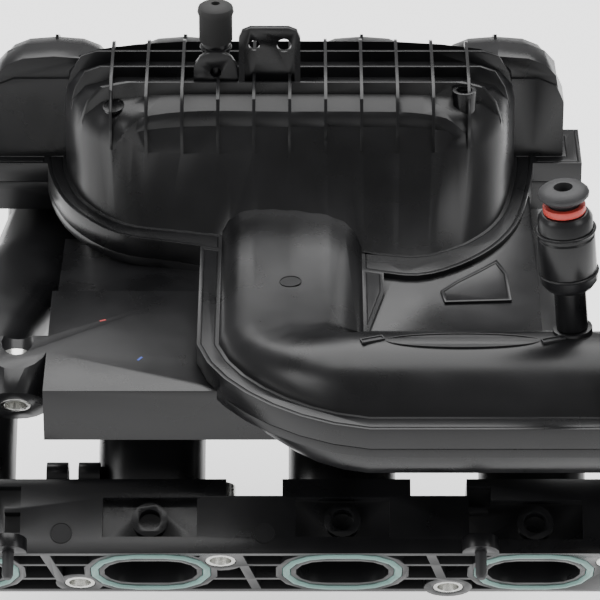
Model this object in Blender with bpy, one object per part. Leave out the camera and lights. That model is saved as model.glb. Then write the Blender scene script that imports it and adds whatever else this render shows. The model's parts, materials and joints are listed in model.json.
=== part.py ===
"""Moulded plastic intake manifold for a four-cylinder engine, at its real size.

The frame: the origin is the centre of the face that bolts to the cylinder head.
+X runs along the row of ports, +Y runs away from the head, and +Z is the direction
in which the upper shell is drawn from its mould. The head face leans HEAD_LEAN
forward, so everything on the head block is built in its own frame, where Y is the
depth behind the face and Z is up along the face.
"""

import math

import bmesh
import bpy
from mathutils import Matrix, Vector

MM = 0.001

# ---- clearances -------------------------------------------------------------
JOIN_GAP = 0.3          # between two pieces that touch
BUSH_PLAY = 0.1         # radial play of the shaft in its bushes
WALL = 3.0              # moulded wall of the shells and runners

# ---- head block (in the head frame: X, depth, up) ---------------------------
HEAD_LEAN = math.radians(36)
BORE_PITCH = 96.0
PORTS = 4
PORT_WIDTH = 47.0
PORT_HEIGHT = 29.0
BLOCK_HALF_LENGTH = 196.0
BLOCK_DEPTH = 40.0
BLOCK_TOP = 25.0
BLOCK_BOTTOM = -27.0
FACE_POCKET_DEPTH = 12.0
FACE_RIB = 2.4
GASKET_WIDTH = 61.0
GASKET_HEIGHT = 46.0
GASKET_BEAD = 4.0
GASKET_GROOVE = 2.0
GASKET_STAND = 0.9
LIMITER_OUTER = 15.3
LIMITER_BORE = 11.0
LIMITER_PLACES = ((-182.0, 13.0), (-84.1, -15.1), (-12.8, 14.4), (101.6, -21.3), (182.0, 13.0))
BOSS_WALL = 4.6
PEG_DIAMETER = 5.7
PEG_LENGTH = 14.0
PEG_SEAT = 8.0
PEG_PLACES = ((-118.0, 26.0), (116.5, 26.0))
PEG_ARCH_RADIUS = 9.2
PEG_ARCH_DEPTH = 7.0
TOP_POCKET = (47.0, 21.0, 5.0)
TOP_POCKET_DEPTHS = (19.5, 19.5, 19.5, 18.0)
STEP_BOSS_RADIUS = 9.2
STEP_BORE_RADIUS = 5.6
LADDER_CELL = 11.0
LADDER_BAR = 3.0
REAR_NOTCH = (28.0, 9.0)
REAR_NOTCH_PLACES = (4.0, 96.0)

# ---- charge-motion flaps ----------------------------------------------------
SHAFT_RADIUS = 3.0
SHAFT_DEPTH = 25.0
BUSH_OUTER = 5.5
BUSH_LENGTH = 5.5
FLAP_CLEARANCE = 1.2
FLAP_THICKNESS = 2.0
FLAP_HUB = 4.6
LEVER_ARM = 12.0
LEVER_THICKNESS = 4.0
LEVER_START = math.radians(-35)
LEVER_PIN_RADIUS = 2.5
FLAP_SWING = math.radians(70)

# ---- vacuum actuator --------------------------------------------------------
CAN_RADIUS = 25.0
CAN_HEIGHT = 26.0
CAN_BASE_Z = 62.0
LID_HEIGHT = 13.0
LID_SEAT = 1.2
CAN_WALL = 2.0
ROD_RADIUS = 2.5
ROD_DISC_RADIUS = 16.0
ROD_DISC_LIFT = 6.0
ROD_DISC_THICKNESS = 2.0
EYE_THICKNESS = 4.0
SPRING_RADIUS = 10.0
SPRING_WIRE = 1.0
SPRING_TURNS = 5

# ---- weld plane and shells (row frame) --------------------------------------
WELD_Z = 100.0
RIM_LIP = 10.0
RIM_UPPER = 11.0
RIM_LOWER = 5.0
CHAMBER_FLOOR = 78.0
SHOULDER_Z = 150.0
ROOF_Z = 173.0
RIB_HEIGHT = 7.0
RIB_THICKNESS = 1.6
RIB_PITCH = 18.6
DUCT_RADIUS = 35.0
DUCT_Y = -2.0
DUCT_END_X = 184.0
LEG_X = 22.5
LEG_HALF_WIDTH = 37.0
LEG_TOP = 25.0
LEG_DEPTH = 20.0
ELBOW_RADIUS = 38.0
ELBOW_PINCH = 0.80

# plan of the chamber wall at the weld plane, and the same corners at the shoulder
CHAMBER_BASE = ((-98, 245), (-95, 215), (-84, 185), (-63, 161), (-35, 152), (20, 135), (70, 120), (90, 118),
                (114, 137), (130, 165), (138, 205), (141, 245), (128, 258), (20, 260), (-86, 258))
CHAMBER_SHOULDER = ((-97, 238), (-95, 213), (-87, 190), (-66, 173), (-35, 168), (20, 168), (60, 168), (95,
                                                                                                       169),
                    (118, 175), (132, 190), (138, 212), (140, 238), (128, 252), (20, 256), (-85, 252))
ROOF_RISE = ROOF_Z - SHOULDER_Z
ROOF_ROUNDING = ((SHOULDER_Z, 0.0), (SHOULDER_Z + ROOF_RISE * 10 / 23, 1.8),
                 (SHOULDER_Z + ROOF_RISE * 18 / 23, 8.5), (ROOF_Z, 26.0))

# ---- runners ----------------------------------------------------------------
RUNNER_HALF_WIDTH = (27.0, 29.5)
RUNNER_HALF_HEIGHT = 19.0
RUNNER_LEVEL = 54.0
RUNNER_BEND = 75.0
LOOP_CENTRE_Y = 262.0
RUNNER_REAR_X = (-104.0, -35.0, 60.0, 132.0)
RUNNER_LIP = 4.5
RUNNER_LIP_HEIGHT = 9.0
GALLERY_FRONT = 242.0
GALLERY_TOP = 156.0
GALLERY_MARGIN = 6.0

# ---- support plate, beam and bolt boss on the lower shell --------------------
PLATE_THICKNESS = 4.0
PLATE_CREASE_Y = 111.0
PLATE_DROP = 10.0
BEAM_FRONT = 9.0
BEAM_DEPTH = 28.0
BEAM_WALL = 4.0
BEAM_LEFT = -100.0
BOSS_RADIUS = 16.5
BOSS_LENGTH = 40.0
BOSS_FACE = (-115.0, 30.0, 79.0)

# ---- throttle flange --------------------------------------------------------
THROTTLE_SIZE = 86.0
THROTTLE_THICKNESS = 12.0
THROTTLE_BORE = 31.0
THROTTLE_BOLT_PITCH = 66.0
INSERT_RADIUS = 4.5
INSERT_BORE = 2.8
THROTTLE_SEAL_RADIUS = 36.0
THROTTLE_SEAL_BEAD = 1.8

# ---- fittings on the roof and on the duct -----------------------------------
PIPE_BASE = (-17.0, 207.0)
PIPE_RADIUS = 7.2
PIPE_BORE = 4.5
PIPE_TOP = ROOF_Z + 39.0
CAP_RADIUS = 8.7
CAP_LENGTH = 16.0
LUG_RADIUS = 11.5
LUG_HOLE = 3.0
TAB_X = (-5.0, 27.0)
TAB_Y = 200.0
TAB_HEIGHT = 33.0
TAB_THICKNESS = 3.0
POST_PLACE = (112.0, 196.0)
POST_RADIUS = 6.2
POST_BORE = 3.2
POST_TOP = ROOF_Z + 2.0
FITTING_PLACE = (160.0, 8.0)
FITTING_LEAN = math.radians(-5)
FITTING_PAD = 3.0
NECK_RADIUS = 7.8
FITTING_RADIUS = 14.0
COLLAR_RADIUS = 12.5
COLLAR_PRESS = 2.5

SLICE = 16              # facets round a small cylinder


# ============================================================================
# Shared modelling helpers
# ============================================================================
def clear_scene():
    for existing in list(bpy.data.objects):
        bpy.data.objects.remove(existing, do_unlink=True)


def finish(name, colour, roughness, metallic=0.0):
    """A Principled material."""
    material = bpy.data.materials.new(name)
    material.use_nodes = True
    shader = material.node_tree.nodes["Principled BSDF"]
    shader.inputs["Base Color"].default_value = (*colour, 1.0)
    shader.inputs["Roughness"].default_value = roughness
    shader.inputs["Metallic"].default_value = metallic
    return material


def mesh_object(name, points, faces, material=None, parent=None):
    """An object from points in millimetres, with its faces turned outwards."""
    shape = bmesh.new()
    corners = [shape.verts.new(Vector(point) * MM) for point in points]
    for face in faces:
        shape.faces.new([corners[index] for index in face])
    bmesh.ops.recalc_face_normals(shape, faces=shape.faces[:])
    if shape.calc_volume(signed=True) < 0:
        bmesh.ops.reverse_faces(shape, faces=shape.faces[:])
    mesh = bpy.data.meshes.new(name)
    shape.to_mesh(mesh)
    shape.free()
    made = bpy.data.objects.new(name, mesh)
    bpy.context.scene.collection.objects.link(made)
    if material is not None:
        mesh.materials.append(material)
    made.parent = parent
    return made


def loft(name, rings, material=None, parent=None):
    """A closed solid skinned over rings with the same number of points."""
    count = len(rings[0])
    points = [point for ring in rings for point in ring]
    faces = [list(range(count)), [len(points) - count + index for index in range(count)]]
    for level in range(len(rings) - 1):
        for index in range(count):
            after = (index + 1) % count
            low = level * count
            faces.append([low + index, low + after, low + count + after, low + count + index])
    return mesh_object(name, points, faces, material, parent)


def pipe(name, outer, inner, material=None, parent=None):
    """A tube with open ends: outer and inner are rings along its length, in pairs."""
    count = len(outer[0])
    points = [point for ring in outer + inner for point in ring]
    inner_start = len(outer) * count
    faces = []
    for start, levels in ((0, len(outer)), (inner_start, len(inner))):
        for level in range(levels - 1):
            for index in range(count):
                after = (index + 1) % count
                low = start + level * count
                faces.append([low + index, low + after, low + count + after, low + count + index])
    outer_ends = (0, (len(outer) - 1) * count)
    inner_ends = (inner_start, inner_start + (len(inner) - 1) * count)
    for outer_end, inner_end in zip(outer_ends, inner_ends):
        for index in range(count):
            after = (index + 1) % count
            faces.append([outer_end + index, outer_end + after, inner_end + after, inner_end + index])
    return mesh_object(name, points, faces, material, parent)


def prism(name, outline, axis, low, high, material=None, parent=None):
    """The outline drawn out along one axis. It is (x, y) for Z, (x, z) for Y, (y, z) for X."""
    placed = {
        "X": lambda a, b, along: (along, a, b),
        "Y": lambda a, b, along: (a, along, b),
        "Z": lambda a, b, along: (a, b, along),
    }[axis]
    rings = [[placed(a, b, along) for a, b in outline] for along in (low, high)]
    return loft(name, rings, material, parent)


def box(name, low, high, material=None, parent=None):
    outline = rectangle(low[0], high[0], low[1], high[1])
    return prism(name, outline, "Z", low[2], high[2], material, parent)


def rectangle(left, right, bottom, top):
    return [(left, bottom), (right, bottom), (right, top), (left, top)]


def circle(radius, centre=(0.0, 0.0), facets=SLICE):
    return [(centre[0] + radius * math.cos(2 * math.pi * step / facets),
             centre[1] + radius * math.sin(2 * math.pi * step / facets)) for step in range(facets)]


def stadium(width, height, centre=(0.0, 0.0), facets=7):
    """A slot with round ends, longer across than up."""
    radius = height / 2
    reach = width / 2 - radius
    points = []
    for side in (1, -1):
        for step in range(facets + 1):
            angle = side * math.pi / 2 * (2 * step / facets - 1)
            if side < 0:
                angle = math.pi + math.pi / 2 * (2 * step / facets - 1)
            points.append((centre[0] + side * reach + radius * math.cos(angle),
                           centre[1] + radius * math.sin(angle)))
    return points


def turned(name, profile, material=None, parent=None, facets=SLICE):
    """A solid of revolution about Z from (radius, height) points that never touch the axis."""
    rings = [[(radius * math.cos(2 * math.pi * step / facets),
               radius * math.sin(2 * math.pi * step / facets),
               height) for radius, height in profile] for step in range(facets)]
    count = len(profile)
    points = [point for ring in rings for point in ring]
    faces = []
    for step in range(facets):
        after = (step + 1) % facets
        for index in range(count):
            following = (index + 1) % count
            faces.append([step * count + index, after * count + index,
                          after * count + following, step * count + following])
    return mesh_object(name, points, faces, material, parent)


def solid_turned(name, profile, material=None, parent=None, facets=SLICE):
    """A solid of revolution about Z, closed by a flat face at its first and last height."""
    rings = [[(*point, height) for point in circle(radius, facets=facets)] for radius, height in profile]
    return loft(name, rings, material, parent)


def combine(target, tools, operation):
    """Adds one Boolean to target for each tool, and hides the tool."""
    for tool in tools:
        step = target.modifiers.new(f"{operation.lower()} {tool.name}", "BOOLEAN")
        step.operation = operation
        step.solver = "EXACT"
        step.object = tool
        tool.hide_render = True
        tool.display_type = "WIRE"
    return target


def cut(target, *tools):
    return combine(target, tools, "DIFFERENCE")


def add(target, *tools):
    return combine(target, tools, "UNION")


def shade(made, sharp=math.radians(35)):
    made.data.shade_smooth()
    made.data.set_sharp_from_angle(angle=sharp)
    return made


def smooth_loop(corners, per_corner=4):
    """A closed Catmull-Rom curve through the corners."""
    count = len(corners)
    points = []
    for index in range(count):
        before, here, after, beyond = (Vector(corners[(index + shift) % count]) for shift in (-1, 0, 1, 2))
        for step in range(per_corner):
            t = step / per_corner
            points.append(tuple(0.5 * (2 * here + (after - before) * t
                                       + (2 * before - 5 * here + 4 * after - beyond) * t * t
                                       + (3 * here - before - 3 * after + beyond) * t ** 3)))
    return points


def grown(outline, distance):
    """The outline of a rounded shape that runs anticlockwise, moved outwards."""
    count = len(outline)
    moved = []
    for index in range(count):
        along = Vector(outline[(index + 1) % count]) - Vector(outline[index - 1])
        outward = Vector((along.y, -along.x)).normalized()
        moved.append(tuple(Vector(outline[index]) + outward * distance))
    return moved


def shrunk(outline, distance):
    """The outline drawn in towards its middle by about the distance, with its corners kept round."""
    low = [min(point[axis] for point in outline) for axis in (0, 1)]
    high = [max(point[axis] for point in outline) for axis in (0, 1)]
    middle = [(low[axis] + high[axis]) / 2 for axis in (0, 1)]
    scale = [1 - 2 * distance / (high[axis] - low[axis]) for axis in (0, 1)]
    return [tuple(middle[axis] + (point[axis] - middle[axis]) * scale[axis] for axis in (0, 1))
            for point in outline]


def blend(start, end, share):
    return start + (end - start) * share


def eased(share):
    share = min(max(share, 0.0), 1.0)
    return share * share * (3 - 2 * share)


def port_xs():
    return [(index - (PORTS - 1) / 2) * BORE_PITCH for index in range(PORTS)]


# ============================================================================
# Head block
# ============================================================================
def head_frame():
    frame = bpy.data.objects.new("head_frame", None)
    bpy.context.scene.collection.objects.link(frame)
    frame.rotation_euler = (HEAD_LEAN, 0, 0)
    return frame


def head_block(frame, plastic):
    """The block with its ports, bolt bosses, peg arches and cored pockets."""
    block = box("head_flange", (-BLOCK_HALF_LENGTH, 0, BLOCK_BOTTOM), (BLOCK_HALF_LENGTH, BLOCK_DEPTH,
                                                                       BLOCK_TOP),
                plastic, frame)
    boss_radius = LIMITER_OUTER / 2 + BOSS_WALL
    for number, (x, up) in enumerate(LIMITER_PLACES):
        if up - boss_radius < BLOCK_BOTTOM - 1:
            boss = circle(boss_radius, (x, up), 20)
            add(block, prism(f"boss_{number}", boss, "Y", 0, BLOCK_DEPTH - 2, parent=frame))
    for number, (x, up) in enumerate(PEG_PLACES):
        arch = circle(PEG_ARCH_RADIUS, (x, up), 20)
        add(block, prism(f"arch_{number}", arch, "Y", 0, PEG_ARCH_DEPTH, parent=frame))
    cut(block, *face_pockets(frame, boss_radius))
    for number, x in enumerate(port_xs()):
        port = stadium(PORT_WIDTH, PORT_HEIGHT, (x, 0))
        cut(block, prism(f"port_{number}", port, "Y", -1, BLOCK_DEPTH + 1, parent=frame))
        cut(block, gasket_groove(number, x, frame))
    cut(block, *top_pockets(frame))
    for number, (x, up) in enumerate(LIMITER_PLACES):
        hole = circle(LIMITER_OUTER / 2 + JOIN_GAP, (x, up))
        cut(block, prism(f"limiter_hole_{number}", hole, "Y", -1, BLOCK_DEPTH + 1, parent=frame))
    for number, (x, up) in enumerate(PEG_PLACES):
        seat = circle(PEG_DIAMETER / 2 + JOIN_GAP, (x, up), 16)
        cut(block, prism(f"peg_seat_{number}", seat, "Y", -1, PEG_SEAT, parent=frame))
    for number, x in enumerate(REAR_NOTCH_PLACES):
        width, depth = REAR_NOTCH
        cut(block, box(f"rear_notch_{number}", (x - width / 2, BLOCK_DEPTH - depth, BLOCK_BOTTOM - 9),
                       (x + width / 2, BLOCK_DEPTH + 1, BLOCK_TOP + 1), parent=frame))
    bore = circle(SHAFT_RADIUS + JOIN_GAP, (SHAFT_DEPTH, 0))
    cut(block, prism("shaft_bore", bore, "X", -BLOCK_HALF_LENGTH - 1, BLOCK_HALF_LENGTH + 1, parent=frame))
    for side in (-1, 1):
        seat = circle(BUSH_OUTER + JOIN_GAP, (SHAFT_DEPTH, 0))
        mouth = side * (BLOCK_HALF_LENGTH + 1)
        floor = side * (BLOCK_HALF_LENGTH - BUSH_LENGTH - JOIN_GAP)
        cut(block, prism(f"bush_seat_{side}", seat, "X", min(mouth, floor), max(mouth, floor), parent=frame))
    return block


def face_pockets(frame, boss_radius):
    """Cored pockets of the face between two ports, crossed by a slanting rib and two level ones."""
    cutters = []
    half_gap = BORE_PITCH / 2
    lip = FACE_RIB + 1.0
    for number in range(PORTS - 1):
        centre = (port_xs()[number] + port_xs()[number + 1]) / 2
        pocket = box(f"face_pocket_{number}", (centre - half_gap + 8, -1, BLOCK_BOTTOM + 4),
                     (centre + half_gap - 8, FACE_POCKET_DEPTH, BLOCK_TOP - 3), parent=frame)
        for side in (-1, 1):
            ring = stadium(GASKET_WIDTH + 2 * lip, GASKET_HEIGHT + 2 * lip, (centre + side * half_gap, 0))
            cut(pocket, prism(f"port_ring_{number}_{side}", ring, "Y", -2, FACE_POCKET_DEPTH + 1,
                              parent=frame))
        for bolt, (x, up) in enumerate(LIMITER_PLACES):
            if abs(x - centre) < half_gap:
                boss = circle(boss_radius, (x, up), 20)
                cut(pocket, prism(f"pocket_boss_{number}_{bolt}", boss, "Y", -2, FACE_POCKET_DEPTH + 1,
                                  parent=frame))
        slant = [(centre - 7, BLOCK_TOP), (centre - 7 + 2 * FACE_RIB, BLOCK_TOP), (centre + 8, BLOCK_BOTTOM),
                 (centre + 8 - 2 * FACE_RIB, BLOCK_BOTTOM)]
        cut(pocket, prism(f"slant_rib_{number}", slant, "Y", -2, FACE_POCKET_DEPTH + 1, parent=frame))
        for level in (9.5, -9.0):
            rib = rectangle(centre - half_gap, centre + half_gap, level - FACE_RIB / 2, level + FACE_RIB / 2)
            cut(pocket, prism(f"level_rib_{number}_{level}", rib, "Y", -2, FACE_POCKET_DEPTH + 1,
                              parent=frame))
        cutters.append(pocket)
    return cutters


def gasket_ring(width, height, bead, centre):
    """The outer and the inner slot of a bead that runs round a port."""
    outer = stadium(width, height, centre)
    inner = stadium(width - 2 * bead, height - 2 * bead, centre)
    return outer, inner


def gasket_groove(number, x, frame):
    outer, inner = gasket_ring(GASKET_WIDTH + 2 * JOIN_GAP, GASKET_HEIGHT + 2 * JOIN_GAP,
                               GASKET_BEAD + 2 * JOIN_GAP, (x, 0))
    rings = [[(a, along, b) for a, b in outer] for along in (-1, GASKET_GROOVE)]
    cores = [[(a, along, b) for a, b in inner] for along in (-1, GASKET_GROOVE)]
    return pipe(f"gasket_groove_{number}", rings, cores, parent=frame)


def port_gasket(number, x, frame, rubber):
    """A bead seal with a crowned lip that stands proud of the face."""
    outer, inner = gasket_ring(GASKET_WIDTH, GASKET_HEIGHT, GASKET_BEAD, (x, 0))
    crown = GASKET_BEAD * 0.3
    crest_out, crest_in = gasket_ring(GASKET_WIDTH - 2 * crown, GASKET_HEIGHT - 2 * crown,
                                      GASKET_BEAD - 2 * crown, (x, 0))
    floor = GASKET_GROOVE - JOIN_GAP
    rings = [[(a, floor, b) for a, b in outer], [(a, 0, b) for a, b in outer],
             [(a, -GASKET_STAND, b) for a, b in crest_out]]
    cores = [[(a, floor, b) for a, b in inner], [(a, 0, b) for a, b in inner],
             [(a, -GASKET_STAND, b) for a, b in crest_in]]
    return shade(pipe(f"port_gasket_{number}", rings, cores, rubber, frame))


def top_pockets(frame):
    """Recesses over the ports with a stepped boss in each, and the ladder pockets behind the pegs."""
    cutters = []
    width, depth, drop = TOP_POCKET
    for number, (x, centre) in enumerate(zip(port_xs(), TOP_POCKET_DEPTHS)):
        pocket = box(f"top_pocket_{number}", (x - width / 2, centre - depth / 2, BLOCK_TOP - drop),
                     (x + width / 2, centre + depth / 2, BLOCK_TOP + 1), parent=frame)
        cut(pocket, prism(f"step_boss_{number}", circle(STEP_BOSS_RADIUS, (x, centre - 1)), "Z",
                          BLOCK_TOP - drop - 1, BLOCK_TOP - 1, parent=frame))
        cutters.append(pocket)
        cutters.append(prism(f"step_bore_{number}", circle(STEP_BORE_RADIUS, (x, centre - 1)), "Z",
                             BLOCK_TOP - 7, BLOCK_TOP + 1, parent=frame))
    for number, (x, _) in enumerate(PEG_PLACES):
        for cell in range(2):
            near = PEG_SEAT + 3 + cell * (LADDER_CELL + LADDER_BAR)
            cutters.append(box(f"ladder_{number}_{cell}", (x - LADDER_CELL / 2, near, BLOCK_TOP - drop),
                               (x + LADDER_CELL / 2, near + LADDER_CELL, BLOCK_TOP + 1), parent=frame))
    return cutters


def limiter(name, place, length, frame, steel):
    """A steel sleeve that takes the bolt load, flush with the face of its boss."""
    outer = [[(a, along, b) for a, b in circle(LIMITER_OUTER / 2, place)] for along in (0.1, length)]
    inner = [[(a, along, b) for a, b in circle(LIMITER_BORE / 2, place)] for along in (0.1, length)]
    return shade(pipe(name, outer, inner, steel, frame))


def locating_peg(name, place, frame, plastic):
    """A peg with a tapered nose that stands out of the face."""
    radius = PEG_DIAMETER / 2
    stations = ((-PEG_LENGTH, radius - 1.0), (-PEG_LENGTH + 2, radius), (PEG_SEAT - JOIN_GAP, radius))
    rings = [[(a, along, b) for a, b in circle(size, place, 16)] for along, size in stations]
    return shade(loft(name, rings, plastic, frame))


# ============================================================================
# Charge-motion flaps in the ports, and the vacuum actuator that turns them
# ============================================================================
def shaft_frame(frame):
    """An empty on the flap shaft's axis, in the head frame."""
    axis = bpy.data.objects.new("flap_axis", None)
    bpy.context.scene.collection.objects.link(axis)
    axis.parent = frame
    axis.location = (0, SHAFT_DEPTH * MM, 0)
    return axis


def lever_x():
    return -BLOCK_HALF_LENGTH - 2.0 - LEVER_THICKNESS


def swirl_shaft(axis, steel):
    left = lever_x() - 1.0
    right = BLOCK_HALF_LENGTH - 2.0
    return shade(prism("swirl_shaft", circle(SHAFT_RADIUS), "X", left, right, steel, axis))


def swirl_flap(number, x, axis, plastic):
    """A plate across the port, moulded round the shaft and lying along the flow at rest."""
    half_width = PORT_WIDTH / 2 - FLAP_CLEARANCE
    half_length = PORT_HEIGHT / 2 - FLAP_CLEARANCE
    corner = half_length * 0.8
    plate_outline = [(x + half_width, 0)]
    for turn in (45, 90):
        plate_outline.append((x + half_width - corner + corner * math.cos(math.radians(turn)),
                              half_length - corner + corner * math.sin(math.radians(turn))))
    right = plate_outline
    left = [(2 * x - a, b) for a, b in reversed(right)]
    upper = right + left[:-1]
    outline = upper + [(left[-1][0], 0)] + [(a, -b) for a, b in reversed(upper[1:])]
    flap = prism(f"swirl_flap_{number}", outline, "Z", -FLAP_THICKNESS / 2, FLAP_THICKNESS / 2, plastic,
                 axis)
    hub = prism(f"flap_hub_{number}", circle(FLAP_HUB), "X", x - half_width + 1, x + half_width - 1,
                parent=axis)
    bore = prism(f"flap_bore_{number}", circle(SHAFT_RADIUS + JOIN_GAP), "X", x - half_width - 2,
                 x + half_width + 2, parent=axis)
    return shade(cut(add(flap, hub), bore))


def shaft_bush(name, side, axis, plastic):
    inside = side * (BLOCK_HALF_LENGTH - BUSH_LENGTH)
    outside = side * BLOCK_HALF_LENGTH
    outer = [[(along, a, b) for a, b in circle(BUSH_OUTER)] for along in (inside, outside)]
    inner = [[(along, a, b) for a, b in circle(SHAFT_RADIUS + BUSH_PLAY)] for along in (inside, outside)]
    return shade(pipe(name, outer, inner, plastic, axis))


def pin_place():
    """The lever pin's (Y, Z) in the row frame, at rest."""
    centre = Matrix.Rotation(HEAD_LEAN, 2) @ Vector((SHAFT_DEPTH, 0))
    return (centre.x + LEVER_ARM * math.cos(LEVER_START), centre.y + LEVER_ARM * math.sin(LEVER_START))


def flap_lever(axis, plastic):
    """A clamped hub, an arm and the pin that the actuator's rod drives."""
    start = lever_x()
    turn = LEVER_START - HEAD_LEAN
    pin = (LEVER_ARM * math.cos(turn), LEVER_ARM * math.sin(turn))
    reach = Vector(pin)
    side = Vector((-reach.y, reach.x)).normalized() * 4.0
    arm = [tuple(-side), tuple(reach - side), tuple(reach + side), tuple(side)]
    lever = prism("flap_lever", circle(7.5), "X", start, start + LEVER_THICKNESS, plastic, axis)
    add(lever, prism("lever_arm", arm, "X", start, start + LEVER_THICKNESS, parent=axis))
    add(lever, prism("lever_tip", circle(4.8, pin), "X", start, start + LEVER_THICKNESS, parent=axis))
    add(lever, prism("lever_pin", circle(LEVER_PIN_RADIUS, pin), "X", start - EYE_THICKNESS - 2,
                     start + 1, parent=axis))
    cut(lever, prism("lever_bore", circle(SHAFT_RADIUS + JOIN_GAP), "X", start - 9, start + 9, parent=axis))
    return shade(lever)


def actuator_axis():
    """(x, y) of the vertical line on which the rod moves."""
    return lever_x() - 1.0 - EYE_THICKNESS / 2, pin_place()[0]


def actuator_rod(steel):
    """The rod with its slotted eye below, and the disc that holds the diaphragm above."""
    x, y = actuator_axis()
    _, pin_z = pin_place()
    slot = LEVER_ARM * (1 - math.cos(FLAP_SWING / 2)) + 0.8
    width = 2 * (slot + LEVER_PIN_RADIUS) + 7
    disc = CAN_BASE_Z + ROD_DISC_LIFT
    rod = solid_turned("actuator_rod", ((ROD_RADIUS, pin_z + 4), (ROD_RADIUS, disc), (ROD_DISC_RADIUS, disc),
                                        (ROD_DISC_RADIUS, disc + ROD_DISC_THICKNESS)), steel)
    for vertex in rod.data.vertices:
        vertex.co += Vector((x, y, 0)) * MM
    eye = prism("rod_eye", stadium(width, 2 * LEVER_PIN_RADIUS + 8, (y, pin_z)), "X",
                x - EYE_THICKNESS / 2, x + EYE_THICKNESS / 2)
    hole = prism("rod_slot", stadium(2 * (slot + LEVER_PIN_RADIUS) + 1.2, 2 * LEVER_PIN_RADIUS + 1.2, (y,
                                                                                                       pin_z)),
                 "X", x - EYE_THICKNESS, x + EYE_THICKNESS)
    return shade(cut(add(rod, eye), hole))


def actuator_can(plastic):
    """The lower cup of the actuator, with the bracket that bolts it to the block's end."""
    x, y = actuator_axis()
    top = CAN_BASE_Z + CAN_HEIGHT
    inner = CAN_RADIUS - CAN_WALL
    can = turned("actuator_can", ((ROD_RADIUS + 0.6, CAN_BASE_Z), (CAN_RADIUS, CAN_BASE_Z), (CAN_RADIUS,
                                                                                             top - 3),
                                  (CAN_RADIUS + 3, top - 3), (CAN_RADIUS + 3, top), (inner, top),
                                  (inner, CAN_BASE_Z + CAN_WALL), (ROD_RADIUS + 0.6, CAN_BASE_Z + CAN_WALL)),
                 plastic, facets=20)
    for vertex in can.data.vertices:
        vertex.co += Vector((x, y, 0)) * MM
    block_end = -BLOCK_HALF_LENGTH + 1
    top_edge = [Matrix.Rotation(HEAD_LEAN, 2) @ Vector((depth, BLOCK_TOP + JOIN_GAP)) for depth in (24, 38)]
    foot = box("can_bracket", (x, top_edge[0].x, CAN_BASE_Z - 3), (block_end + 12, y - 6, CAN_BASE_Z + 0.6))
    leg = prism("can_bracket_leg", [tuple(top_edge[0]), tuple(top_edge[1]), (top_edge[1].x, CAN_BASE_Z - 1),
                                    (top_edge[0].x, CAN_BASE_Z - 1)], "X", block_end, block_end + 12)
    return shade(add(can, foot, leg))


def actuator_lid(plastic):
    """The upper cup, with the vacuum nipple on its crown."""
    x, y = actuator_axis()
    base = CAN_BASE_Z + CAN_HEIGHT + LID_SEAT
    top = base + LID_HEIGHT
    inner = CAN_RADIUS - CAN_WALL
    lid = turned("actuator_lid", ((CAN_RADIUS + 3, base), (CAN_RADIUS + 3, base + 3), (CAN_RADIUS, base + 3),
                                  (CAN_RADIUS - 6, top), (3.0, top), (2.6, top + 14), (1.3, top + 14),
                                  (1.3, top - CAN_WALL), (CAN_RADIUS - 7, top - CAN_WALL), (inner, base + 2),
                                  (inner, base)), plastic, facets=20)
    for vertex in lid.data.vertices:
        vertex.co += Vector((x, y, 0)) * MM
    return shade(lid)


def actuator_diaphragm(rubber):
    """The rubber cup clamped between the two halves, which rolls down to the rod's disc."""
    x, y = actuator_axis()
    clamp = CAN_BASE_Z + CAN_HEIGHT + JOIN_GAP
    disc = CAN_BASE_Z + ROD_DISC_LIFT
    edge = ROD_DISC_RADIUS + 0.4
    inside = CAN_RADIUS - CAN_WALL - 0.4
    profile = ((CAN_RADIUS + 2.5, clamp), (CAN_RADIUS + 2.5, clamp + 0.6), (inside - 1, clamp + 0.6),
               (edge, disc + 1.2), (edge, disc), (edge + 1, disc), (inside, clamp))
    cup = turned("actuator_diaphragm", profile, rubber, facets=20)
    for vertex in cup.data.vertices:
        vertex.co += Vector((x, y, 0)) * MM
    return shade(cup)


def return_spring(steel):
    """The coil between the rod's disc and the crown of the lid."""
    x, y = actuator_axis()
    low = CAN_BASE_Z + ROD_DISC_LIFT + ROD_DISC_THICKNESS + JOIN_GAP + SPRING_WIRE
    high = CAN_BASE_Z + CAN_HEIGHT + LID_SEAT + LID_HEIGHT - CAN_WALL - JOIN_GAP - SPRING_WIRE
    facets = 5
    steps = SPRING_TURNS * 10
    rings = []
    for step in range(steps + 1):
        angle = 2 * math.pi * SPRING_TURNS * step / steps
        height = blend(low, high, step / steps)
        outward = Vector((math.cos(angle), math.sin(angle), 0))
        centre = Vector((x, y, height)) + outward * SPRING_RADIUS
        rings.append([tuple(centre + outward * SPRING_WIRE * math.cos(2 * math.pi * side / facets)
                            + Vector((0, 0, SPRING_WIRE * math.sin(2 * math.pi * side / facets))))
                      for side in range(facets)])
    return shade(loft("return_spring", rings, steel))


# ============================================================================
# Chamber, duct and rim: the shapes that both shells share
# ============================================================================
def chamber(name, inset):
    """The plenum's volume: the tray below the weld plane and the dome above it."""
    base = smooth_loop(CHAMBER_BASE)
    shoulder = smooth_loop(CHAMBER_SHOULDER)
    rings = []
    for height, pinch in ((CHAMBER_FLOOR, 12.0), (CHAMBER_FLOOR + 3, 4.0), (CHAMBER_FLOOR + 9, 0.0),
                          (WELD_Z, 0.0)):
        rings.append([(*point, height) for point in grown(shrunk(base, pinch), -inset)])
    for height, pinch in ROOF_ROUNDING:
        rings.append([(*point, height) for point in grown(shrunk(shoulder, pinch), -inset)])
    rings[0] = [(x, y, z + inset) for x, y, z in rings[0]]
    rings[1] = [(x, y, z + inset) for x, y, z in rings[1]]
    for level in range(-2, 0):
        rings[level] = [(x, y, z - inset) for x, y, z in rings[level]]
    return loft(name, rings)


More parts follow.
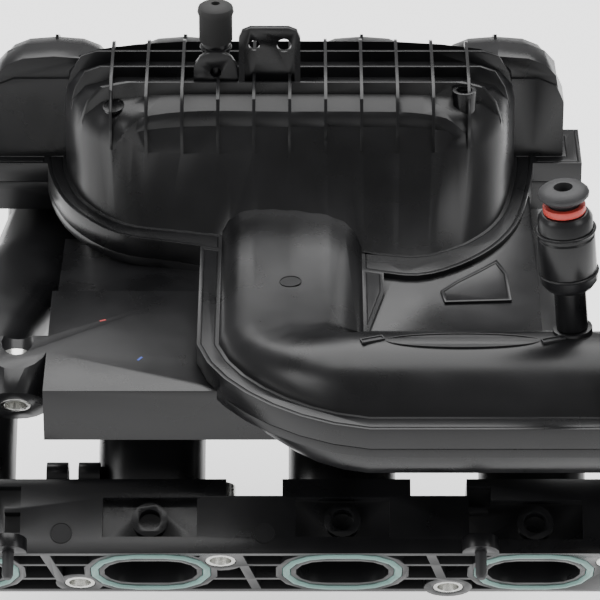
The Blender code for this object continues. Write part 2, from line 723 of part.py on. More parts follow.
def duct_stations():
    """Centre, heading and share of the way round the elbow, from the plenum to the throttle end."""
    stations = []
    elbow_centre = Vector((LEG_X + ELBOW_RADIUS, DUCT_Y + ELBOW_RADIUS))
    for y in (176.0, 130.0, 90.0):
        stations.append((Vector((LEG_X, y)), Vector((0, -1)), 0.0))
    steps = 7
    for step in range(steps + 1):
        turn = math.pi / 2 * step / steps
        outward = Vector((-math.cos(turn), -math.sin(turn)))
        heading = Vector((math.sin(turn), -math.cos(turn)))
        stations.append((elbow_centre + outward * ELBOW_RADIUS, heading, step / steps))
    for x in (100.0, 140.0, DUCT_END_X):
        stations.append((Vector((x, DUCT_Y)), Vector((1, 0)), 1.0))
    return stations


def duct_section(share, spread):
    """Half width, height, depth and squareness of the duct at a share of the way round the elbow."""
    pinch = 1 - (1 - ELBOW_PINCH) * math.sin(math.pi * share)
    half_width = blend(LEG_HALF_WIDTH, DUCT_RADIUS, share) * pinch + spread
    height = blend(LEG_TOP, DUCT_RADIUS, eased(share)) + spread
    depth = blend(LEG_DEPTH, DUCT_RADIUS, eased(share)) + spread
    squareness = blend(3.4, 2.0, eased(share))
    return half_width, height, depth, squareness


def duct(name, inset, overrun=0.0, facets=20):
    """The duct's volume from the plenum round the elbow to the throttle end."""
    rings = []
    stations = duct_stations()
    end, heading, share = stations[-1]
    stations[-1] = (end + heading * overrun, heading, share)
    for centre, heading, share in stations:
        half_width, height, depth, squareness = duct_section(share, -inset)
        across = Vector((-heading.y, heading.x))
        ring = []
        for step in range(facets):
            angle = 2 * math.pi * step / facets
            reach = math.copysign(abs(math.cos(angle)) ** (2 / squareness), math.cos(angle)) * half_width
            rise = math.copysign(abs(math.sin(angle)) ** (2 / squareness), math.sin(angle))
            rise *= height if rise > 0 else depth
            place = centre + across * reach
            ring.append((place.x, place.y, WELD_Z + rise))
        rings.append(ring)
    return loft(name, rings)


def duct_rim_outline():
    """Plan of the flange strip that follows the duct. The web fills the inside of the bend."""
    outside = []
    inside = []
    for centre, heading, share in duct_stations():
        half_width, _, _, _ = duct_section(share, RIM_LIP)
        across = Vector((-heading.y, heading.x))
        bending = centre.y < 90.0 and centre.x < 100.0
        inside_reach = min(half_width, ELBOW_RADIUS - 2.0) if bending else half_width
        outside.append(tuple(centre - across * half_width))
        inside.append(tuple(centre + across * inside_reach))
    return outside + inside[::-1]


def gallery(name, inset):
    """The wide rear of the plenum, from which the runners start."""
    left = RUNNER_REAR_X[0] - RUNNER_HALF_WIDTH[1] - GALLERY_MARGIN + inset
    right = RUNNER_REAR_X[-1] + RUNNER_HALF_WIDTH[1] + GALLERY_MARGIN - inset
    top = GALLERY_TOP - inset
    bottom = CHAMBER_FLOOR + inset
    corner = 14.0
    outline = [(left, bottom), (right, bottom), (right, top - corner), (right - 0.3 * corner,
                                                                        top - 0.3 * corner),
               (right - corner, top), (left + corner, top), (left + 0.3 * corner, top - 0.3 * corner),
               (left, top - corner)]
    return prism(name, outline, "Y", GALLERY_FRONT + inset, LOOP_CENTRE_Y - inset)


def runner_section(half_width, half_height, facets=16, squareness=2.7):
    """A rounded oval as (across, up) points."""
    points = []
    for step in range(facets):
        angle = 2 * math.pi * step / facets
        points.append((math.copysign(abs(math.cos(angle)) ** (2 / squareness), math.cos(angle)) * half_width,
                       math.copysign(abs(math.sin(angle)) ** (2 / squareness),
                                     math.sin(angle)) * half_height))
    return points


def loop_radius():
    return WELD_Z - RUNNER_LEVEL


def runner_collar(name, x, spread, front, rear):
    """A bulge of the gallery round one runner's mouth."""
    top = WELD_Z + loop_radius()
    section = runner_section(RUNNER_HALF_WIDTH[1] + spread, RUNNER_HALF_HEIGHT + spread)
    return prism(name, [(x + a, top + b) for a, b in section], "Y", front, rear)


def rim(prefix, low, high, web_high):
    """The weld flange in plan: round the chamber, along the duct, behind the gallery and over the web."""
    outline = grown(smooth_loop(CHAMBER_BASE), RIM_LIP)
    ring = prism(f"{prefix}_chamber", outline, "Z", low, high)
    strip = prism(f"{prefix}_duct", duct_rim_outline(), "Z", low, high - 0.05)
    left = RUNNER_REAR_X[0] - RUNNER_HALF_WIDTH[1] - GALLERY_MARGIN - RIM_LIP
    right = RUNNER_REAR_X[-1] + RUNNER_HALF_WIDTH[1] + GALLERY_MARGIN + RIM_LIP
    rear = box(f"{prefix}_gallery", (left, GALLERY_FRONT - RIM_LIP, low), (right, LOOP_CENTRE_Y + RIM_LIP,
                                                                           high - 0.1))
    web = prism(f"{prefix}_web", [(LEG_X + 20, 20), (148, 20), (148, 200), (100, 200), (LEG_X + 20, 120)],
                "Z",
                low, web_high)
    return ring, strip, rear, web


def cavity(prefix):
    """The space inside the walls, as cutters."""
    return [chamber(f"{prefix}_inner_chamber", WALL), duct(f"{prefix}_inner_duct", WALL, 5.0),
            gallery(f"{prefix}_inner_gallery", WALL)]


def upper_shell(plastic, foot):
    """Dome, roof ribs, duct top, runner collars and the upper half of the weld flange."""
    shell = chamber("upper_shell", 0.0)
    shell.data.materials.append(plastic)
    add(shell, duct("upper_duct", 0.0), gallery("upper_gallery", 0.0))
    for number, x in enumerate(RUNNER_REAR_X):
        add(shell, runner_collar(f"upper_collar_{number}", x, 3.4, GALLERY_FRONT + 2, LOOP_CENTRE_Y - 0.2))
    add(shell, *rim("upper_rim", WELD_Z - 1, WELD_Z + RIM_UPPER, WELD_Z + RIM_UPPER - 3))
    cut(shell, box("below_weld", (-400, -200, -50), (400, 500, WELD_Z)))
    add(shell, *roof_ribs())
    add(shell, *roof_fittings())
    add(shell, prism("fitting_pad", circle(NECK_RADIUS + 2), "Z", -8, FITTING_PAD, parent=foot))
    cut(shell, *cavity("upper"))
    for number, x in enumerate(RUNNER_REAR_X):
        cut(shell, runner_collar(f"mouth_{number}", x, -WALL, GALLERY_FRONT + 2 + WALL, LOOP_CENTRE_Y + 1))
    cut(shell, *fitting_holes(foot))
    return shade(shell)


def roof_ribs():
    """Upright ribs across the roof, trimmed to an envelope that fades out on the shoulder."""
    shoulder = smooth_loop(CHAMBER_SHOULDER)
    top = ROOF_Z + RIB_HEIGHT
    levels = ((SHOULDER_Z - 2, -0.4), (SHOULDER_Z + ROOF_RISE * 8 / 23, -0.2),
              (SHOULDER_Z + ROOF_RISE * 18 / 23, 2.5), (top - 3, 8.0), (top, 16.0))
    cross_drop = 1.0
    ribs = []
    centre_x = (CHAMBER_SHOULDER[0][0] + CHAMBER_SHOULDER[11][0]) / 2
    for step in range(-5, 6):
        x = centre_x + step * RIB_PITCH
        ribs.append(box(f"long_rib_{step}", (x - RIB_THICKNESS / 2, 150, SHOULDER_Z - 2),
                        (x + RIB_THICKNESS / 2, 262, top + 1)))
    for step, y in enumerate((173.0, 192.0, 210.5, 229.0, 247.0)):
        ribs.append(box(f"cross_rib_{step}", (-120, y - RIB_THICKNESS / 2, SHOULDER_Z - 2),
                        (160, y + RIB_THICKNESS / 2, top + 1)))
    for rib in ribs:
        drop = cross_drop if rib.name.startswith("cross") else 0.0
        envelope = loft(f"{rib.name}_envelope",
                        [[(*point, height - drop) for point in shrunk(shoulder, pinch + drop)]
                         for height, pinch in levels])
        combine(rib, [envelope], "INTERSECT")
    return ribs


def roof_fittings():
    """The capped breather pipe, its lug, the wiring tab and the hollow post."""
    x, y = PIPE_BASE
    parts = [prism("pipe_stub", circle(PIPE_RADIUS, PIPE_BASE), "Z", ROOF_Z - 2, PIPE_TOP)]
    lug = prism("lug_disc", circle(LUG_RADIUS, (x, ROOF_Z + 10)), "Y", y - 12, y - 8)
    parts.append(lug)
    parts.append(box("lug_foot", (x - LUG_RADIUS, y - 12, ROOF_Z - 2), (x + LUG_RADIUS, y - 8, ROOF_Z + 10)))
    parts.append(box("lug_web", (x - 1.5, y - 9, ROOF_Z - 2), (x + 1.5, y - 5, ROOF_Z + 18)))
    left, right = TAB_X
    corner = 6.0
    top = ROOF_Z + TAB_HEIGHT
    tab = [(left, ROOF_Z - 2), (right, ROOF_Z - 2), (right, top - corner), (right - 0.3 * corner,
                                                                            top - 0.3 * corner),
           (right - corner, top), (left + corner, top), (left + 0.3 * corner, top - 0.3 * corner),
           (left, top - corner)]
    parts.append(prism("tab_plate", tab, "Y", TAB_Y, TAB_Y + TAB_THICKNESS))
    for side in (left, right - TAB_THICKNESS):
        parts.append(prism(f"tab_gusset_{side}", [(TAB_Y - 9, ROOF_Z - 2), (TAB_Y + 1, ROOF_Z - 2),
                                                  (TAB_Y + 1, top - 10), (TAB_Y - 6, ROOF_Z + 14)], "X",
                                                  side,
                           side + TAB_THICKNESS))
    parts.append(prism("post", circle(POST_RADIUS, POST_PLACE), "Z", SHOULDER_Z - 4, POST_TOP))
    return parts


def fitting_holes(foot):
    """Bores of the pipe, the lug, the tab, the post and the duct's vacuum port."""
    x, y = PIPE_BASE
    left, right = TAB_X
    holes = [prism("pipe_bore", circle(PIPE_BORE, PIPE_BASE), "Z", ROOF_Z - 8, PIPE_TOP + 1),
             prism("lug_hole", circle(LUG_HOLE, (x, ROOF_Z + 10)), "Y", y - 14, y - 7.5),
             prism("tab_hole_a", circle(2.9, (left + 8, ROOF_Z + 23)), "Y", TAB_Y - 1, TAB_Y + 4),
             prism("tab_hole_b", circle(3.8, (right - 8.5, ROOF_Z + 23)), "Y", TAB_Y - 1, TAB_Y + 4),
             prism("post_bore", circle(POST_BORE, POST_PLACE), "Z", POST_TOP - 15, POST_TOP + 1)]
    return holes + [prism("vacuum_port", circle(4.5), "Z", -12, FITTING_PAD + 1, parent=foot)]


def lower_shell(plastic):
    """Tray, duct floor, lower weld flange, the support plate with its beam, and the bolt boss."""
    top = WELD_Z - JOIN_GAP
    shell = chamber("lower_shell", 0.0)
    shell.data.materials.append(plastic)
    add(shell, duct("lower_duct", 0.0), gallery("lower_gallery", 0.0))
    add(shell, *rim("lower_rim", WELD_Z - RIM_LOWER, WELD_Z + 1, WELD_Z + 1))
    add(shell, *support_plate(top))
    cut(shell, box("above_weld", (-400, -200, top), (400, 500, 300)))
    cut(shell, *cavity("lower"))
    cut(shell, boss_hole())
    return shade(shell)


def support_plate(top):
    """The flat gusset left of the duct, its front beam and the boss at its corner."""
    floor = top - PLATE_THICKNESS
    front = prism("plate_front", [(BEAM_LEFT, BEAM_FRONT + 1), (8, BEAM_FRONT + 1), (-6, PLATE_CREASE_Y),
                                  (BEAM_LEFT, PLATE_CREASE_Y)], "Z", floor, WELD_Z + 1)
    slope = [(PLATE_CREASE_Y - 1, floor), (PLATE_CREASE_Y - 1, top - 0.3), (186, top - PLATE_DROP),
             (186, floor - PLATE_DROP)]
    back = prism("plate_back", slope, "X", BEAM_LEFT + 3, -20)
    beam = box("plate_beam", (BEAM_LEFT, BEAM_FRONT, top - BEAM_DEPTH), (40, BEAM_FRONT + BEAM_WALL,
                                                                         WELD_Z + 1))
    return front, back, beam, bolt_boss()


def boss_frame_points(radius, start, end, facets=20):
    """Rings of a cylinder that stands square to the head face, from its face centre."""
    face = Vector(BOSS_FACE)
    depth = Vector((0, math.cos(HEAD_LEAN), math.sin(HEAD_LEAN)))
    up = Vector((0, -math.sin(HEAD_LEAN), math.cos(HEAD_LEAN)))
    rings = []
    for along in (start, end):
        rings.append([tuple(face + depth * along + Vector((1, 0, 0)) * a + up * b)
                      for a, b in circle(radius, facets=facets)])
    return rings


def bolt_boss():
    return loft("bolt_boss", boss_frame_points(BOSS_RADIUS, 0, BOSS_LENGTH))


def boss_hole():
    return loft("boss_hole", boss_frame_points(LIMITER_OUTER / 2 + JOIN_GAP, -1, BOSS_LENGTH + 20, SLICE))


def boss_limiter(steel):
    outer = boss_frame_points(LIMITER_OUTER / 2, 0.1, BOSS_LENGTH - 12, SLICE)
    inner = boss_frame_points(LIMITER_BORE / 2, 0.1, BOSS_LENGTH - 12, SLICE)
    return shade(pipe("limiter_6", outer, inner, steel))


# ============================================================================
# Runners
# ============================================================================
def runner_path():
    """(y, z, pitch) along a runner's centre line, from the block to the weld plane."""
    start = BLOCK_DEPTH + JOIN_GAP
    y = start * math.cos(HEAD_LEAN)
    z = start * math.sin(HEAD_LEAN)
    rise = RUNNER_LEVEL - z - RUNNER_BEND * (1 - math.cos(HEAD_LEAN))
    straight = rise / math.sin(HEAD_LEAN)
    path = [(y, z, HEAD_LEAN)]
    y += straight * math.cos(HEAD_LEAN)
    z += rise
    steps = 3
    for step in range(steps + 1):
        pitch = HEAD_LEAN * (1 - step / steps)
        path.append((y + RUNNER_BEND * (math.sin(HEAD_LEAN) - math.sin(pitch)),
                     z + RUNNER_BEND * (math.cos(pitch) - math.cos(HEAD_LEAN)), pitch))
    level_start = path[-1][0]
    for step in range(1, 5):
        path.append((blend(level_start, LOOP_CENTRE_Y, step / 4), RUNNER_LEVEL, 0.0))
    for step in range(1, 6):
        turn = math.pi / 2 * step / 5
        path.append((LOOP_CENTRE_Y + loop_radius() * math.sin(turn),
                     WELD_Z - loop_radius() * math.cos(turn), turn))
    return path


def runner_ring(x, station, half_width, half_height):
    y, z, pitch = station
    ring = []
    for across, up in runner_section(half_width, half_height):
        ring.append((x + across, y - up * math.sin(pitch), z + up * math.cos(pitch)))
    return ring


def runner(number, plastic):
    """A tube from the block, under the plenum and up to the weld plane, with a lip for the weld."""
    path = runner_path()
    level_from = next(y for y, _, pitch in path if pitch == 0.0)
    outer = []
    inner = []
    for station in path:
        share = eased((station[0] - level_from) / (LOOP_CENTRE_Y - level_from))
        x = blend(port_xs()[number], RUNNER_REAR_X[number], share)
        half_width = blend(*RUNNER_HALF_WIDTH, share)
        outer.append(runner_ring(x, station, half_width, RUNNER_HALF_HEIGHT))
        inner.append(runner_ring(x, station, half_width - WALL, RUNNER_HALF_HEIGHT - WALL))
    x = RUNNER_REAR_X[number]
    end = (LOOP_CENTRE_Y + loop_radius(), WELD_Z - JOIN_GAP, math.pi / 2)
    root = (end[0], end[1] - RUNNER_LIP_HEIGHT / 2, math.pi / 2)
    outer[-1] = runner_ring(x, root, RUNNER_HALF_WIDTH[1], RUNNER_HALF_HEIGHT)
    for station in (root, end):
        outer.append(runner_ring(x, station, RUNNER_HALF_WIDTH[1] + RUNNER_LIP,
                                 RUNNER_HALF_HEIGHT + RUNNER_LIP))
    inner[-1] = runner_ring(x, root, RUNNER_HALF_WIDTH[1] - WALL, RUNNER_HALF_HEIGHT - WALL)
    inner.append(runner_ring(x, end, RUNNER_HALF_WIDTH[1] - WALL, RUNNER_HALF_HEIGHT - WALL))
    return shade(pipe(f"runner_{number + 1}", outer, inner, plastic))


def runner_crown(number, plastic):
    """The top half of a runner's loop, from the weld plane over to the gallery's rear wall."""
    x = RUNNER_REAR_X[number]
    start = (LOOP_CENTRE_Y + loop_radius(), WELD_Z, math.pi / 2)
    root = (start[0], WELD_Z + RUNNER_LIP_HEIGHT, math.pi / 2)
    lip = (RUNNER_HALF_WIDTH[1] + RUNNER_LIP, RUNNER_HALF_HEIGHT + RUNNER_LIP)
    plain = (RUNNER_HALF_WIDTH[1], RUNNER_HALF_HEIGHT)
    outer = [runner_ring(x, start, *lip), runner_ring(x, root, *lip), runner_ring(x, root, *plain)]
    inner = [runner_ring(x, start, plain[0] - WALL, plain[1] - WALL)]
    steps = 5
    for step in range(2, steps + 1):
        turn = math.pi / 2 * (1 + step / steps)
        station = (LOOP_CENTRE_Y + loop_radius() * math.sin(turn) + (JOIN_GAP if step == steps else 0.0),
                   WELD_Z - loop_radius() * math.cos(turn), turn)
        outer.append(runner_ring(x, station, *plain))
        inner.append(runner_ring(x, station, plain[0] - WALL, plain[1] - WALL))
    return shade(pipe(f"runner_crown_{number + 1}", outer, inner, plastic))


# ============================================================================
# Throttle end
# ============================================================================
def throttle_bolts():
    reach = THROTTLE_BOLT_PITCH / 2
    return [(DUCT_Y + side * reach, WELD_Z + lift * reach) for side in (-1, 1) for lift in (-1, 1)]


def throttle_flange(plastic):
    """The square flange that the throttle body bolts to, with its seal groove."""
    near = DUCT_END_X + JOIN_GAP
    far = near + THROTTLE_THICKNESS
    half = THROTTLE_SIZE / 2
    corner = 10.0
    outline = []
    for turn in range(4):
        for step in range(5):
            angle = math.pi / 2 * (turn + step / 4)
            quadrant = math.pi / 2 * turn + math.pi / 4
            outline.append((DUCT_Y + math.copysign(half - corner,
                                                   math.cos(quadrant)) + corner * math.cos(angle),
                            WELD_Z + math.copysign(half - corner,
                                                   math.sin(quadrant)) + corner * math.sin(angle)))
    flange = prism("throttle_flange", outline, "X", near, far, plastic)
    centre = (DUCT_Y, WELD_Z)
    cut(flange, prism("throttle_bore", circle(THROTTLE_BORE, centre, 28), "X", near - 1, far + 1))
    groove = THROTTLE_SEAL_BEAD + JOIN_GAP
    outer = [[(along, a, b) for a, b in circle(THROTTLE_SEAL_RADIUS + groove, centre, 28)]
             for along in (far - 2.5, far + 1)]
    inner = [[(along, a, b) for a, b in circle(THROTTLE_SEAL_RADIUS - groove, centre, 28)]
             for along in (far - 2.5, far + 1)]
    cut(flange, pipe("throttle_groove", outer, inner))
    for number, place in enumerate(throttle_bolts()):
        hole = circle(INSERT_RADIUS + JOIN_GAP, place)
        cut(flange, prism(f"insert_hole_{number}", hole, "X", near - 1, far + 1))
    return shade(flange)


def throttle_seal(rubber):
    """A ring seal standing a little proud of the throttle face."""
    far = DUCT_END_X + JOIN_GAP + THROTTLE_THICKNESS
    centre = (DUCT_Y, WELD_Z)
    bead = THROTTLE_SEAL_BEAD
    outer = [[(along, a, b) for a, b in circle(THROTTLE_SEAL_RADIUS + size, centre, 28)]
             for along, size in ((far - 2.2, bead), (far, bead), (far + 0.8, bead * 0.4))]
    inner = [[(along, a, b) for a, b in circle(THROTTLE_SEAL_RADIUS - size, centre, 28)]
             for along, size in ((far - 2.2, bead), (far, bead), (far + 0.8, bead * 0.4))]
    return shade(pipe("throttle_seal", outer, inner, rubber))


def throttle_insert(number, place, brass):
    """A threaded insert, drawn plain."""
    near = DUCT_END_X + JOIN_GAP + 1.0
    far = DUCT_END_X + JOIN_GAP + THROTTLE_THICKNESS
    outer = [[(along, a, b) for a, b in circle(INSERT_RADIUS, place)] for along in (near, far)]
    inner = [[(along, a, b) for a, b in circle(INSERT_BORE, place)] for along in (near, far)]
    return shade(pipe(f"throttle_insert_{number + 1}", outer, inner, brass))


# ============================================================================
# Breather cap and quick-release fitting
# ============================================================================
def pipe_cap(rubber):
    """The rubber cap over the breather pipe, with a rolled bead at its crown."""
    base = PIPE_TOP - CAP_LENGTH
    inner = PIPE_RADIUS + JOIN_GAP
    profile = ((inner, base), (CAP_RADIUS, base), (CAP_RADIUS, PIPE_TOP - 2), (CAP_RADIUS + 0.8, PIPE_TOP),
               (CAP_RADIUS + 0.4, PIPE_TOP + 3), (CAP_RADIUS - 2, PIPE_TOP + 4.5), (2.2, PIPE_TOP + 5),
               (2.2, PIPE_TOP + JOIN_GAP), (inner, PIPE_TOP + JOIN_GAP))
    cap = turned("pipe_cap", profile, rubber)
    for vertex in cap.data.vertices:
        vertex.co += Vector((*PIPE_BASE, 0)) * MM
    return shade(cap)


def fitting_frame():
    """An empty at the foot of the fitting, leaning as the fitting does."""
    foot = bpy.data.objects.new("fitting_frame", None)
    bpy.context.scene.collection.objects.link(foot)
    offset = abs(FITTING_PLACE[1] - DUCT_Y)
    height = WELD_Z + math.sqrt(DUCT_RADIUS ** 2 - offset ** 2)
    foot.location = Vector((*FITTING_PLACE, height)) * MM
    foot.rotation_euler = (0, FITTING_LEAN, 0)
    return foot


def fitting_body(foot, plastic):
    """The check-valve body on its neck, with a socket in its top for the hose end."""
    base = FITTING_PAD + JOIN_GAP
    profile = ((4.5, base), (NECK_RADIUS, base), (NECK_RADIUS, 25), (FITTING_RADIUS - 2, 27),
               (FITTING_RADIUS, 30),
               (FITTING_RADIUS, 54), (FITTING_RADIUS - 0.6, 54.5), (FITTING_RADIUS - 0.6, 64),
               (FITTING_RADIUS - 2.6, 67), (9.6, 67), (9.6, 48), (4.5, 46))
    return shade(turned("fitting_body", profile, plastic, foot, 20))


def fitting_ring(foot, red):
    """The coloured latch ring in the mouth of the body."""
    return shade(turned("fitting_ring", ((7.6, 67.3), (10.4, 67.3), (10.4, 71), (7.6, 71)), red, foot, 20))


def release_collar(foot, plastic):
    """The mushroom-headed collar that is pushed in to let the hose go."""
    low = 71.0 + COLLAR_PRESS + 0.6
    profile = ((4.6, 58), (7.2, 58), (7.2, low), (10.5, low), (COLLAR_RADIUS, low + 2.0), (COLLAR_RADIUS,
                                                                                           low + 3.6),
               (10.4, low + 5.6), (4.6, low + 6.2))
    return shade(turned("release_collar", profile, plastic, foot, 20))


# ============================================================================
# The manifold
# ============================================================================
def build():
    clear_scene()
    black = finish("black glass-filled nylon", (0.022, 0.022, 0.024), 0.38)
    dark = finish("dark nylon", (0.03, 0.03, 0.033), 0.45)
    steel = finish("zinc-plated steel", (0.72, 0.72, 0.70), 0.28, 1.0)
    brass = finish("brass", (0.72, 0.55, 0.27), 0.35, 1.0)
    green = finish("green silicone", (0.10, 0.28, 0.24), 0.4)
    rubber = finish("black rubber", (0.02, 0.02, 0.02), 0.6)
    red = finish("red acetal", (0.62, 0.05, 0.04), 0.4)

    frame = head_frame()
    head_block(frame, black)
    for number, x in enumerate(port_xs()):
        port_gasket(number + 1, x, frame, green)
    for number, place in enumerate(LIMITER_PLACES):
        limiter(f"limiter_{number + 1}", place, BLOCK_DEPTH, frame, steel)
    boss_limiter(steel)
    for name, place in zip(("locating_peg_left", "locating_peg_right"), PEG_PLACES):
        locating_peg(name, place, frame, dark)

    axis = shaft_frame(frame)
    swirl_shaft(axis, steel)
    for number, x in enumerate(port_xs()):
        swirl_flap(number + 1, x, axis, dark)
    shaft_bush("shaft_bush_left", -1, axis, dark)
    shaft_bush("shaft_bush_right", 1, axis, dark)
    flap_lever(axis, dark)
    actuator_rod(steel)
    actuator_can(dark)
    actuator_lid(dark)
    actuator_diaphragm(rubber)
    return_spring(steel)

    foot = fitting_frame()
    upper_shell(black, foot)
    lower_shell(black)
    for number in range(PORTS):
        runner(number, black)
        runner_crown(number, black)

    throttle_flange(black)
    throttle_seal(rubber)
    for number, place in enumerate(throttle_bolts()):
        throttle_insert(number, place, brass)

    pipe_cap(rubber)
    fitting_body(foot, black)
    fitting_ring(foot, red)
    release_collar(foot, dark)


build()
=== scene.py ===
"""Dresses the intake manifold: moulded skins, seals, metal parts, small moulded details, studio."""

import json
import logging
import math
from dataclasses import dataclass
from enum import Enum

import bmesh
import bpy
from mathutils import Matrix, Vector

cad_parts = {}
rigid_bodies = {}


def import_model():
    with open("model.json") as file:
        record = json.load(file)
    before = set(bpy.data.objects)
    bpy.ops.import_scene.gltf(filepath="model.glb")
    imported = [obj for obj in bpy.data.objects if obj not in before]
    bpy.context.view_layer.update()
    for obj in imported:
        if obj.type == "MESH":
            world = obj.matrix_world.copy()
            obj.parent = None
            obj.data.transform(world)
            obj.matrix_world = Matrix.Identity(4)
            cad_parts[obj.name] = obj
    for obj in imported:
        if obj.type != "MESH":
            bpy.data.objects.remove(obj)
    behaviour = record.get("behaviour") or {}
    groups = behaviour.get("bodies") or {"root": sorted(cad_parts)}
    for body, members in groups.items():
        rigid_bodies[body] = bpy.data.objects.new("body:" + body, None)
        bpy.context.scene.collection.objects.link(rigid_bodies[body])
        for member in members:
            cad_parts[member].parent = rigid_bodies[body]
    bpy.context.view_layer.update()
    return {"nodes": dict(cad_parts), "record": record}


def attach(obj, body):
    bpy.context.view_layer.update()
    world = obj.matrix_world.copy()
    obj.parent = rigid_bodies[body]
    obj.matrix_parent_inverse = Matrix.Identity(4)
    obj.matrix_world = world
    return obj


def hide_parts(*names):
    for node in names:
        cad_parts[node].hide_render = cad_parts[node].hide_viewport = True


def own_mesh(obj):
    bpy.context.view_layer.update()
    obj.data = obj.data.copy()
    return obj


logging.basicConfig(level=logging.INFO, format="%(message)s")
LOG = logging.getLogger("manifold")

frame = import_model()

Pair = tuple[float, float]
Triple = tuple[float, float, float]

MM = 0.001
UP = Vector((0, 0, 1))
DOWN = Vector((0, 0, -1))

HEAD_LEAN = math.radians(36)
"""How far the head block leans back."""

DROP_HEIGHT = 0.5
"""Where the lines that find a surface start, well above the object, in metres."""

SHARP_ANGLE = math.radians(38)
"""Edges sharper than this are rounded."""

SMOOTH_ANGLE = math.radians(34)
"""Edges flatter than this are shaded smooth."""

TOP_FACING = 0.9
"""The least upward part of the normal of a face that counts as a top."""

LEVEL_FACING = 0.98
"""The same for a face that counts as level."""


# ---------------------------------------------------------------------------
# Finishes
# ---------------------------------------------------------------------------
class Slot(Enum):
    """The record's material slots."""

    BLACK_NYLON = "black_nylon"
    DARK_NYLON = "dark_nylon"
    ZINC_STEEL = "zinc_steel"
    BRASS_INSERT = "brass_insert"
    GREEN_SEAL = "green_seal"
    BLACK_RUBBER = "black_rubber"
    RED_LATCH = "red_latch"


@dataclass(frozen=True)
class Finish:
    """A surface whose colour, gloss and grain drift over it."""

    title: str
    deep: Triple
    pale: Triple
    gloss: Pair
    metallic: float = 0.0
    patch: float = 28.0
    patch_detail: float = 5.0
    patch_span: Pair = (0.3, 0.7)
    grain: float = 1400.0
    grain_detail: float = 3.0
    relief: float = 0.00006
    relief_strength: float = 0.5
    coat: float = 0.0
    coat_gloss: float = 0.25
    specular: float = 0.5

    def material(self) -> bpy.types.Material:
        """Makes the node material of this finish, once.

        Returns:
            the material.
        """
        made = bpy.data.materials.get(self.title)
        if made:
            return made
        made = bpy.data.materials.new(self.title)
        made.use_nodes = True
        tree = made.node_tree
        shader = tree.nodes["Principled BSDF"]
        shader.inputs["Metallic"].default_value = self.metallic
        shader.inputs["Coat Weight"].default_value = self.coat
        shader.inputs["Coat Roughness"].default_value = self.coat_gloss
        shader.inputs["Specular IOR Level"].default_value = self.specular
        place = tree.nodes.new("ShaderNodeTexCoord").outputs["Object"]
        drift = self.noise(tree, place, self.patch, self.patch_detail)
        self.tint(tree, shader, drift)
        self.sheen(tree, shader, drift)
        self.texture(tree, shader, self.noise(tree, place, self.grain, self.grain_detail))
        return made

    def noise(self, tree: bpy.types.NodeTree, place: bpy.types.NodeSocket, scale: float,
              detail: float) -> bpy.types.NodeSocket:
        """Adds a noise that stays fixed to the piece.

        Args:
            tree: the material's nodes.
            place: the socket that gives the place on the piece.
            scale: how fine the noise is.
            detail: how many finer layers it has.

        Returns:
            the socket that gives its strength.
        """
        node = tree.nodes.new("ShaderNodeTexNoise")
        node.inputs["Scale"].default_value = scale
        node.inputs["Detail"].default_value = detail
        tree.links.new(place, node.inputs["Vector"])
        return node.outputs["Fac"]

    def tint(self, tree: bpy.types.NodeTree, shader: bpy.types.Node,
             drift: bpy.types.NodeSocket) -> None:
        """Drifts the colour between its deep and pale shades.

        Args:
            tree: the material's nodes.
            shader: the shader that takes the colour.
            drift: the noise it follows.
        """
        ramp = tree.nodes.new("ShaderNodeValToRGB")
        for stop, level, shade in zip(ramp.color_ramp.elements, self.patch_span,
                                      (self.deep, self.pale)):
            stop.position = level
            stop.color = (*shade, 1.0)
        tree.links.new(drift, ramp.inputs["Fac"])
        tree.links.new(ramp.outputs["Color"], shader.inputs["Base Color"])

    def sheen(self, tree: bpy.types.NodeTree, shader: bpy.types.Node,
              drift: bpy.types.NodeSocket) -> None:
        """Drifts the roughness between its two ends.

        Args:
            tree: the material's nodes.
            shader: the shader that takes the roughness.
            drift: the noise it follows.
        """
        spread = tree.nodes.new("ShaderNodeMapRange")
        spread.inputs["From Min"].default_value = self.patch_span[0]
        spread.inputs["From Max"].default_value = self.patch_span[1]
        spread.inputs["To Min"].default_value = self.gloss[0]
        spread.inputs["To Max"].default_value = self.gloss[1]
        tree.links.new(drift, spread.inputs["Value"])
        tree.links.new(spread.outputs["Result"], shader.inputs["Roughness"])

    def texture(self, tree: bpy.types.NodeTree, shader: bpy.types.Node,
                fine: bpy.types.NodeSocket) -> None:
        """Roughens the surface with its fine grain.

        Args:
            tree: the material's nodes.
            shader: the shader that takes the bumps.
            fine: the noise they follow.
        """
        bump = tree.nodes.new("ShaderNodeBump")
        bump.inputs["Strength"].default_value = self.relief_strength
        bump.inputs["Distance"].default_value = self.relief
        tree.links.new(fine, bump.inputs["Height"])
        tree.links.new(bump.outputs["Normal"], shader.inputs["Normal"])


